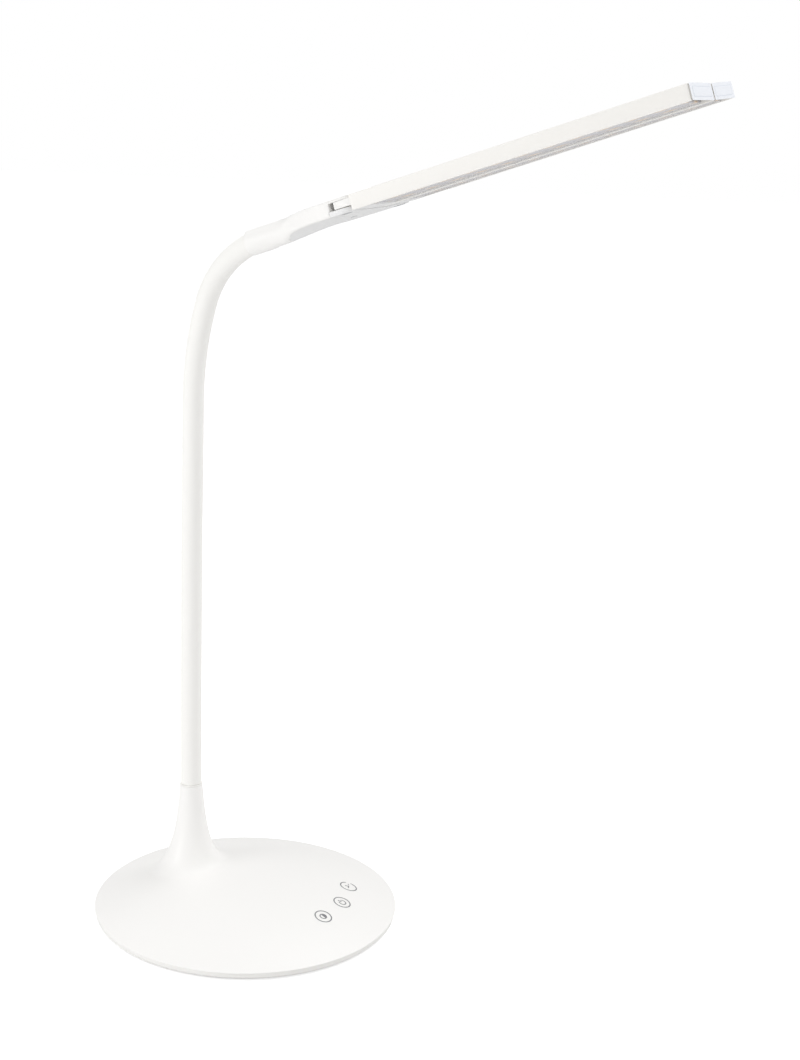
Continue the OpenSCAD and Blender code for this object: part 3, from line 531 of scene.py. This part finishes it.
def sheath():
    """The silicone sheath in four pieces, each blended over one bending point."""
    ring_step = 1.2
    line, d, total = centre_line()
    cuts = [0.0, (d[0] + d[1]) / 2, (d[1] + d[2]) / 2, (d[2] + d[3]) / 2, total]
    nodes = (("gooseneck_sheath_root", "gooseneck_sheath_lower"), ("gooseneck_sheath_upper",),
             ("gooseneck_sheath_elbow",), ("gooseneck_sheath_tip",))
    pivots = ((*P1, 0.0), (*P2, LEANS[1]), (*P3, LEANS[2]), (*P4, TIP_HEAD))
    dist = np.array([p[0] for p in line])
    xs, zs = np.array([p[1] for p in line]), np.array([p[2] for p in line])
    hs = np.array([p[3] for p in line])
    ring = np.linspace(0, 2 * math.pi, 73)[:-1]
    for k in range(4):
        n = max(30, int((cuts[k + 1] - cuts[k]) / ring_step))
        loops = []
        stations = list(np.linspace(cuts[k], cuts[k + 1], n))
        radii = [TUBE_R] * n
        if k == 0:
            stations = [0.0, 0.0, 0.12, 0.4] + stations[1:]
            radii = [TUBE_BORE, TUBE_R - 0.4, TUBE_R - 0.12, TUBE_R] + radii[1:]
        for s, r in zip(stations, radii):
            x, z, h = np.interp(s, dist, xs), np.interp(s, dist, zs), math.radians(np.interp(s, dist, hs))
            side = np.array([math.cos(h), 0, -math.sin(h)])
            c = np.array([x, 0, z])
            loops.append([c + r * (math.cos(t) * side + math.sin(t) * V) for t in ring])
        verts, faces = rings(loops, close_ends=False)
        ob = mesh("sheath_%d" % (k + 1), verts, faces, SILICONE, None, "silicone_white", nodes[k], sharp=60)
        normals_out(ob, np.mean(loops[-2] + loops[-1], axis=0))
        px, pz, h = pivots[k]
        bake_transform(ob)


def normals_out(ob, mid):
    """Turns the faces of an open tube so that its last one looks away from a point on the middle line."""
    f = ob.data.polygons[-1]
    if (f.center - Vector(mid) * MM).dot(f.normal) < 0:
        ob.data.flip_normals()


# ---------------------------------------------------------------- head
# Along the head, from the sleeve's mouth to its front: the half width, the underside and the top at the
# edges and along the middle, and the corners' radius
HALF = [(-81, SLEEVE_R), (-66, SLEEVE_R), (-61, 7.2), (-56, 9.8), (-50, 15.5), (-44, 21.5), (-38, 26.8),
        (-32, 30.8), (-26, 33.6), (-20, 35.2), (-16, 35.45), (0, 35.45)]
EDGE_LOW = [(-81, -3.8), (-62, -3.8), (-55, -1), (-50, 0), (-46, 0.25), (-36, 0.2), (-28, 0), (-18, -0.3),
            (0, -0.3)]
EDGE_HIGH = [(-81, 9.6), (-62, 9.6), (-56, 9.0), (-50, 8.6), (-36, 8.35), (-18, 7.8), (0, 7.8)]
MID_LOW = [(-81, -3.8), (-70, -3.8), (-65, -3.3), (-60, -3.05), (-55, -2.7), (-50, -2.3), (-44, -1.6),
           (-38, -0.9), (-32, -0.4), (-24, -0.3), (0, -0.3)]
MID_HIGH = [(-81, 9.6), (-62, 9.6), (-56, 9.5), (-50, 9.3), (-42, 8.9), (-34, 8.4), (-26, 7.9), (-18, 7.8),
            (0, 7.8)]
CORNER = [(-81, SLEEVE_R), (-62, SLEEVE_R), (-57, 5), (-52, 3), (-46, 1.8), (-36, 1.2), (-18, 1.0), (0, 1.0)]


def curve(table, s):
    """A smooth curve through a table of (s, value)."""
    xs, ys = [p[0] for p in table], [p[1] for p in table]
    n = len(xs)
    if s <= xs[0]:
        return ys[0]
    if s >= xs[-1]:
        return ys[-1]
    i = max(k for k in range(n - 1) if xs[k] <= s)
    h = xs[i + 1] - xs[i]
    d = [(ys[k + 1] - ys[k]) / (xs[k + 1] - xs[k]) for k in range(n - 1)]

    def slope(k):
        if k == 0 or k == n - 1:
            return 0.0
        if d[k - 1] * d[k] <= 0:
            return 0.0
        return 2 * d[k - 1] * d[k] / (d[k - 1] + d[k])
    t = (s - xs[i]) / h
    return ((2 * t ** 3 - 3 * t ** 2 + 1) * ys[i] + (t ** 3 - 2 * t ** 2 + t) * h * slope(i)
            + (-2 * t ** 3 + 3 * t ** 2) * ys[i + 1] + (t ** 3 - t ** 2) * h * slope(i + 1))


ROLL_START, ROLL_RUN, ROLL_SOFT = -40.0, 22.0, 2.0


def lifted(s, y):
    """How far the bars' roll lifts a point of the head above its level plane."""
    k = min(1, max(0, (s - ROLL_START) / ROLL_RUN))
    k = k * k * (3 - 2 * k)
    return k * math.tan(ROLL[1 if y > 0 else -1]) * max(0.0, math.hypot(y, ROLL_SOFT) - ROLL_SOFT)


def swell(s, y):
    """How much of the middle's swell is left at a distance y from the middle."""
    t = min(1.0, abs(y) / curve(HALF, s))
    return (1 - t * t) ** 2


def underside(s, y):
    low = curve(EDGE_LOW, s)
    return low + swell(s, y) * (curve(MID_LOW, s) - low) + lifted(s, y)


def head_section(s):
    """A closed outline across the head: a rounded box that swells in the middle."""
    half, low, high = curve(HALF, s), curve(EDGE_LOW, s), curve(EDGE_HIGH, s)
    r = min(curve(CORNER, s), half, (high - low) / 2)
    corners = ((half - r, low + r, -90), (half - r, high - r, 0),
               (r - half, high - r, 90), (r - half, low + r, 180))
    outline = []
    for k, (y, w, turn) in enumerate(corners):
        outline += arc(y, w, r, turn, turn + 90, 12)
        ny, nw, turn = corners[(k + 1) % 4]
        nxt = arc(ny, nw, r, turn, turn + 90, 1)[0]
        here = outline[-1]
        steps = 5 if k % 2 == 0 else 36
        outline += [(here[0] + (nxt[0] - here[0]) * i / steps, here[1] + (nxt[1] - here[1]) * i / steps)
                    for i in range(1, steps)]
    down, up = curve(MID_LOW, s) - low, curve(MID_HIGH, s) - high
    return [head_point(s, y, w + swell(s, y) * (down if w < (low + high) / 2 else up) + lifted(s, y))
            for y, w in outline]


def sleeve_ring(s, r):
    """A round ring with the same number of points as a head section."""
    base = head_section(LIP_X)
    mid = head_point(s, 0, SLEEVE_W)
    out = []
    for p in base:
        d = p - head_point(LIP_X, 0, SLEEVE_W)
        out.append(mid + d / np.linalg.norm(d) * r)
    return out


COVER_X, COVER_ROUND = -56.0, 4
COVER_INSET, COVER_T = 2.2, 1.1
COVER_GAP = 0.12
COVER_LIP_X = PIVOT[0] - SLOT_R - 0.6
COVER_LIP_Y = 20.6
SCREW_X, SCREW_R, SCREW_HOLE_R = -20.0, 1.3, 1.6
PIN_HEAD_R = 3.0


def cover_half(s, grow=0.0):
    """Half of the cover's width: it has a round rear end, and it stands back from the hinges."""
    if s > COVER_LIP_X + grow:
        return COVER_LIP_Y + grow
    width = curve(HALF, s) - COVER_INSET + grow
    if s >= COVER_X + COVER_ROUND:
        return width
    back = min(1.0, (COVER_X - grow + COVER_ROUND - s) / COVER_ROUND)
    return min(5.0 * math.sqrt(max(0.0, 1 - back ** 2)) + 3.0, width)


def cover_solid(low, high, grow=0.0, front=SHELL_END):
    """A skin that follows the underside, between two heights under and over it."""
    stations = [COVER_X - grow + COVER_ROUND * (i / 6) ** 2 for i in range(7)]
    stations += list(np.arange(COVER_X + 5, -16.0, 1.0))
    stations += [COVER_LIP_X + grow - 0.01, COVER_LIP_X + grow + 0.01, -10.0, -6.0, front]
    across = 36
    loops = []
    for s in stations:
        ys = [cover_half(s, grow) * (2 * i / across - 1) for i in range(across + 1)]
        at = min(s, 0.0)
        loops.append([head_point(s, y, underside(at, y) + low) for y in ys]
                     + [head_point(s, y, underside(at, y) + high) for y in reversed(ys)])
    return rings(loops)


def on_bar(side):
    """Places a point of a bar's own frame."""
    return lambda x, y, z: bar_point(side, x, y, z)


def hinge_cutters(side):
    """The room for a bar's tongue, the round outer corner and the room for the cover's lip."""
    px, py = PIVOT
    at, far = on_bar(side), 40
    room = [(px + far, py - SLOT_R), (px + far, py + 30), (px - SLOT_R, py + 30)]
    room += arc(px, py, SLOT_R, 180, 270, 16)
    corner = [(px, py + 30)] + arc(px, py, LIP_R, 90, 0, 16) + [(px + far, py), (px + far, py + 30)]
    lip = box_outline(COVER_LIP_X - 0.1, 20, COVER_LIP_Y - 0.2, 60)
    return [mesh("room", *prism(room, -12, SLOT_ROOF, at), WHITE),
            mesh("corner", *prism(corner, -15, 20, at), WHITE),
            mesh("lip_room", *prism(lip, -15, SLOT_FLOOR, at), WHITE)]


def head_shell():
    """The sleeve and the paddle as one skin, with the rooms for the cover and the hinges cut out."""
    bore = [(-73.0, 5.95), (-80.6, 5.98), (LIP_X, 6.2), (LIP_X, 6.45), (-80.9, 6.62)]
    outside = [-80.6] + list(np.arange(-79, -66, 3.0)) + list(np.arange(-66, -16, 1.0))
    outside += list(range(-16, -4, 2)) + [SHELL_END]
    verts, faces = rings([sleeve_ring(s, r) for s, r in bore] + [head_section(s) for s in outside])
    shell = mesh("head_paddle", verts, faces, WHITE, None)
    cutters = hinge_cutters(1) + hinge_cutters(-1)
    v, f = cover_solid(-12, 1.2, COVER_GAP, SHELL_END + 2.4)
    cutters.append(mesh("cover_room", v, f, WHITE))
    cut(shell, cutters, sharp=32, bevel=0.22)
    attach(shell, "head")
    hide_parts("head_shell")


def head_cover():
    """The lower cover with the hinges' lower lips, the pins' heads and the screw."""
    px, py = PIVOT
    v, f = cover_solid(-0.02, COVER_T)
    mesh("head_cover_plate", v, f, COVER, "head", "cover_grey", ("head_cover",), bevel=0.15)
    inner = COVER_LIP_Y - 0.1
    lip = [(COVER_LIP_X, inner), (SHELL_END, inner), (SHELL_END, py)]
    lip += arc(px, py, LIP_R, 0, 90, 16) + [(COVER_LIP_X, py + LIP_R)]
    pin = arc(px, py, PIN_HEAD_R, 0, 360, 40)[:-1]
    for side, name in ((1, "left"), (-1, "right")):
        v, f = prism(lip, -0.3, SLOT_FLOOR - 0.1, on_bar(side))
        mesh("hinge_lip_" + name, v, f, COVER, "head", "cover_grey", bevel=0.25)
        v, f = prism(pin, -0.3, 0.2, on_bar(side))
        mesh("pin_head_" + name, v, f, STEEL, "head", "steel", bevel=0.15)
    low = underside(SCREW_X, 0)
    # a near-black disc in the screw's hole: painted shadow round the screw head
    v, f = prism(arc(SCREW_X, 0, SCREW_HOLE_R, 0, 360, 40)[:-1], low - 0.02, low + 0.5, head_point)
    mesh("cover_hole", v, f, PAINTED_SHADOW, "head", "cover_grey")
    v, f = prism(arc(SCREW_X, 0, SCREW_R, 0, 360, 40)[:-1], low - 0.04, low + 0.5, head_point)
    mesh("cover_screw_head", v, f, STEEL, "head", "steel", ("cover_screw",), bevel=0.1)


# ---------------------------------------------------------------- light bars
EDGE_R, LOWER_EDGE_R = 0.55, 0.3
ROOF_T = 1.6


def bar_housing(name, body, at):
    """A channel, open below, whose section narrows a little at both ends."""
    inner = BAR_W - WALL
    section = ([(0.18, 0.0), (WALL - 0.15, 0.0), (WALL, 0.15), (WALL, BAR_T - ROOF_T),
                (inner, BAR_T - ROOF_T), (inner, 0.15), (inner + 0.15, 0.0), (BAR_W - 0.18, 0.0)]
               + arc(BAR_W - LOWER_EDGE_R, LOWER_EDGE_R, LOWER_EDGE_R, -60, 0, 3)
               + arc(BAR_W - EDGE_R, BAR_T - EDGE_R, EDGE_R, 0, 90, 6)
               + arc(EDGE_R, BAR_T - EDGE_R, EDGE_R, 90, 180, 6)
               + arc(LOWER_EDGE_R, LOWER_EDGE_R, LOWER_EDGE_R, 180, 240, 3))
    xs = [BAR_X, BAR_X + 0.12, BAR_X + 0.45] + list(np.linspace(BAR_X + 2, HOUSING_L - 2, 30))
    xs += [HOUSING_L - 0.3, HOUSING_L - 0.05, HOUSING_L]
    loops = []
    for x in xs:
        k = 0.6 * max(0.0, BAR_X + 0.3 - x, x - HOUSING_L + 0.2)
        loops.append([at(x, min(max(y, k), BAR_W - k), min(max(z, k * 0.5), BAR_T - k)) for y, z in section])
    v, f = rings(loops)
    mesh("bar_housing_" + name, v, f, BAR, body, "white_shell", (name + "_bar_housing",), sharp=35)


def bar_knuckle(name, body, at):
    """The block in the bar's rear end, with the tongue that sits in the head's slot."""
    block = box_outline(BAR_X + 0.02, BAR_X + KNUCKLE_L, WALL + 0.05, BAR_W - WALL - 0.05)
    v, f = prism(block, 0.02, BAR_T - 1.7, at)
    mesh("bar_knuckle_" + name, v, f, COVER, body, "white_shell", (name + "_bar_knuckle",), bevel=0.15)
    px, py = PIVOT
    turn_y = math.degrees(math.asin(TONGUE_R / TONGUE_SWEEP))
    turn_x = math.degrees(math.acos(TONGUE_BACK / TONGUE_SWEEP))
    tongue = [(BAR_X + 1.5, py - TONGUE_R), (BAR_X + 1.5, py + TONGUE_R)]
    tongue += arc(px, py, TONGUE_SWEEP, 180 - turn_y, 180 - turn_x, 3)
    tongue += arc(px, py, TONGUE_SWEEP, 180 + turn_x, 180 + turn_y, 3)
    v, f = prism(tongue, SLOT_FLOOR + 0.2, SLOT_ROOF - 0.1, at)
    mesh("bar_tongue_" + name, v, f, WHITE, body, "white_shell", bevel=0.2)


def bar_diffuser(side, name, body, at):
    """The diffuser, with the strip's own x and y in mm as its UV, and a near-black plate above it as painted
    shadow in the room inside the bar.
    """
    start, end = BAR_X + KNUCKLE_L, HOUSING_L - CAP_PLUG
    v, f = prism(box_outline(start + 0.05, end, WALL + 0.3, BAR_W - WALL - 0.3), 0.7, 2.0, at)
    ob = mesh("bar_diffuser_" + name, v, f, OPAL, None, "diffuser", (name + "_bar_diffuser",), bevel=0.12)
    layer = ob.data.uv_layers.new(name="strip")
    inv = np.array([U, V, W])
    for poly in ob.data.polygons:
        for li in poly.loop_indices:
            p = np.array(ob.data.vertices[ob.data.loops[li].vertex_index].co) / MM
            q = inv @ (p - HEAD_O)
            layer.data[li].uv = (q[0] - LED_START, side * q[1] - GAP / 2)
    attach(ob, body)
    # a near-black plate over the diffuser: painted shadow inside the bar
    v, f = prism(box_outline(start - 0.1, end, WALL + 0.02, BAR_W - WALL - 0.02), 1.5, 2.6, at)
    mesh("bar_shadow_" + name, v, f, PAINTED_SHADOW, body, "diffuser")


def end_cap(name, body, at):
    """The cap: its plug in the channel and the groove behind its flange, both grey as painted shade, and a
    faint line on its face.
    """
    flange_x = BAR_L - CAP_FLANGE
    plug = box_outline(HOUSING_L - CAP_PLUG, flange_x + 0.1, WALL + 0.1, BAR_W - WALL - 0.1)
    # the plug's grey is painted shade in the recess at the bar's end
    v, f = prism(plug, 1.6, BAR_T - 1.75, at)
    mesh("cap_plug_" + name, v, f, PAINTED_SHADE, body, "cap_white")
    # the groove's grey is painted shade behind the flange
    groove = box_outline(HOUSING_L - 0.2, flange_x + 0.1, CAP_GROOVE, BAR_W - CAP_GROOVE)
    v, f = prism(groove, 0.6, BAR_T - CAP_GROOVE, at)
    mesh("cap_groove_" + name, v, f, PAINTED_SHADE, body, "cap_white")

    def facing(y, z, x):
        return at(x, y, z)
    v, f = prism(rounded_outline(0.5, BAR_W, 0.0, BAR_T, 0.5), flange_x, BAR_L - 0.06, facing)
    mesh("cap_flange_" + name, v, f, CAP, body, "cap_white", (name + "_end_cap",), sharp=10)
    v, f = prism(rounded_outline(3.2, BAR_W - 3.2, 1.5, BAR_T - 1.5, 0.9), BAR_L - 0.1, BAR_L - 0.03, facing)
    mesh("cap_line_" + name, v, f, CAP_LINE, body, "cap_white", sharp=10)
    v, f = prism(rounded_outline(3.7, BAR_W - 3.7, 1.75, BAR_T - 1.75, 0.7), BAR_L - 0.1, BAR_L, facing)
    mesh("cap_panel_" + name, v, f, CAP, body, "cap_white", sharp=10)


def light_bar(side, name):
    body, at = name + "_bar", on_bar(side)
    bar_housing(name, body, at)
    bar_knuckle(name, body, at)
    bar_diffuser(side, name, body, at)
    end_cap(name, body, at)


base_dome()
marks()
neck_ring()
sheath()
head_shell()
head_cover()
light_bar(1, "left")
light_bar(-1, "right")

# ---------------------------------------------------------------- finishes of the CAD nodes that stay in view
FINISH = {
    "base_tray": TRAY, "ballast_disc": STEEL, "ballast_screws": STEEL, "base_feet": RUBBER,
    "tray_screws": STEEL, "control_board": GREEN, "board_screws": STEEL, "touch_springs": STEEL,
    "dc_jack": BLACK, "base_leads": LEAD, "neck_plug_lower": BRASS, "neck_washer": STEEL, "neck_nut": STEEL,
    "neck_plug_upper": BRASS, "plug_screw": STEEL, "hinge_pins": STEEL, "hinge_washers": BRASS,
    "head_leads": LEAD,
}
NAMED = (("core", STEEL), ("leads", LEAD), ("board", BOARD), ("_leds", LED), ("sheath", SILICONE),
         ("mark", PRINT), ("diffuser", OPAL), ("cap", CAP))


def finish_of(node):
    if node in FINISH:
        return FINISH[node]
    return next((mat for word, mat in NAMED if word in node), WHITE)


for node, ob in frame["nodes"].items():
    ob.data.materials.clear()
    ob.data.materials.append(finish_of(node))


# ---------------------------------------------------------------- floor, world, lights
FLOOR_GREY, FLOOR_GLOW = 0.8, 0.62
WORLD_STRENGTH = 0.58


def floor():
    """A pale floor that the camera sees as white, with the lamp's shadow kept."""
    me = bpy.data.meshes.new("floor")
    s = 6.0
    me.from_pydata([(-s, -s, 0), (s, -s, 0), (s, s, 0), (-s, s, 0)], [], [(0, 1, 2, 3)])
    ob = bpy.data.objects.new("floor", me)
    bpy.context.collection.objects.link(ob)
    m, n, links, b = nodes_of("floor_paper")
    b.inputs["Base Color"].default_value = (FLOOR_GREY, FLOOR_GREY, FLOOR_GREY, 1)
    b.inputs["Roughness"].default_value = 0.9
    b.inputs["Specular IOR Level"].default_value = 0.1
    glow = n.new("ShaderNodeEmission")
    glow.inputs[0].default_value = (1, 1, 1, 1)
    glow.inputs[1].default_value = FLOOR_GLOW
    path = n.new("ShaderNodeLightPath")
    add = n.new("ShaderNodeAddShader")
    mix = n.new("ShaderNodeMixShader")
    out = [k for k in n if k.type == "OUTPUT_MATERIAL"][0]
    links.new(b.outputs[0], add.inputs[0])
    links.new(glow.outputs[0], add.inputs[1])
    links.new(path.outputs["Is Camera Ray"], mix.inputs[0])
    links.new(b.outputs[0], mix.inputs[1])
    links.new(add.outputs[0], mix.inputs[2])
    links.new(mix.outputs[0], out.inputs[0])
    me.materials.append(m)


def world():
    """Soft even light, and plain white where the camera looks past the floor."""
    w = bpy.data.worlds.new("studio")
    bpy.context.scene.world = w
    w.use_nodes = True
    n, links = w.node_tree.nodes, w.node_tree.links
    n.clear()
    out = n.new("ShaderNodeOutputWorld")
    soft = n.new("ShaderNodeBackground")
    soft.inputs[0].default_value = (1.0, 1.0, 1.0, 1)
    soft.inputs[1].default_value = WORLD_STRENGTH
    white = n.new("ShaderNodeBackground")
    white.inputs[0].default_value = (1, 1, 1, 1)
    white.inputs[1].default_value = 1.0
    path = n.new("ShaderNodeLightPath")
    mix = n.new("ShaderNodeMixShader")
    links.new(path.outputs["Is Camera Ray"], mix.inputs[0])
    links.new(soft.outputs[0], mix.inputs[1])
    links.new(white.outputs[0], mix.inputs[2])
    links.new(mix.outputs[0], out.inputs[0])


def area(name, place, aim, size, power):
    lamp = bpy.data.lights.new(name, "AREA")
    lamp.shape = "RECTANGLE"
    lamp.size, lamp.size_y = size
    lamp.energy = power
    ob = bpy.data.objects.new(name, lamp)
    bpy.context.collection.objects.link(ob)
    ob.location = place
    ob.rotation_euler = (Vector(aim) - Vector(place)).to_track_quat("-Z", "Y").to_euler()


floor()
world()
area("key", (-0.9, -1.2, 0.45), (0.0, 0.0, 0.3), (1.0, 1.0), 9.5)
area("fill", (2.2, -0.7, 0.5), (0.1, 0.0, 0.35), (1.4, 1.4), 7)
area("top", (0.7, 0.7, 2.0), (0.05, 0.0, 0.1), (1.6, 1.6), 21)

# ---------------------------------------------------------------- camera
PHOTO_W, PHOTO_H = 800, 1060
FOCAL_PX, MIDDLE_PX = 1774.53, 290
SENSOR = 36
cam = bpy.data.cameras.new("camera")
cam.sensor_width = SENSOR
cam.sensor_fit = "AUTO"
cam.lens = FOCAL_PX / PHOTO_H * SENSOR
cam.shift_x = (PHOTO_W / 2 - MIDDLE_PX) / PHOTO_H
cam.clip_start, cam.clip_end = 0.05, 50
view = bpy.data.objects.new("camera", cam)
bpy.context.collection.objects.link(view)
right = Vector((0.88328543, 0.46872529, 0.01017152))
up = Vector((-0.1259066, 0.21625365, 0.96818484))
turn = Matrix((right, up, right.cross(up))).transposed().to_4x4()
view.matrix_world = Matrix.Translation((0.450264, -0.804481, 0.459847)) @ turn
bpy.context.scene.camera = view
bpy.context.scene.view_settings.view_transform = "Standard"
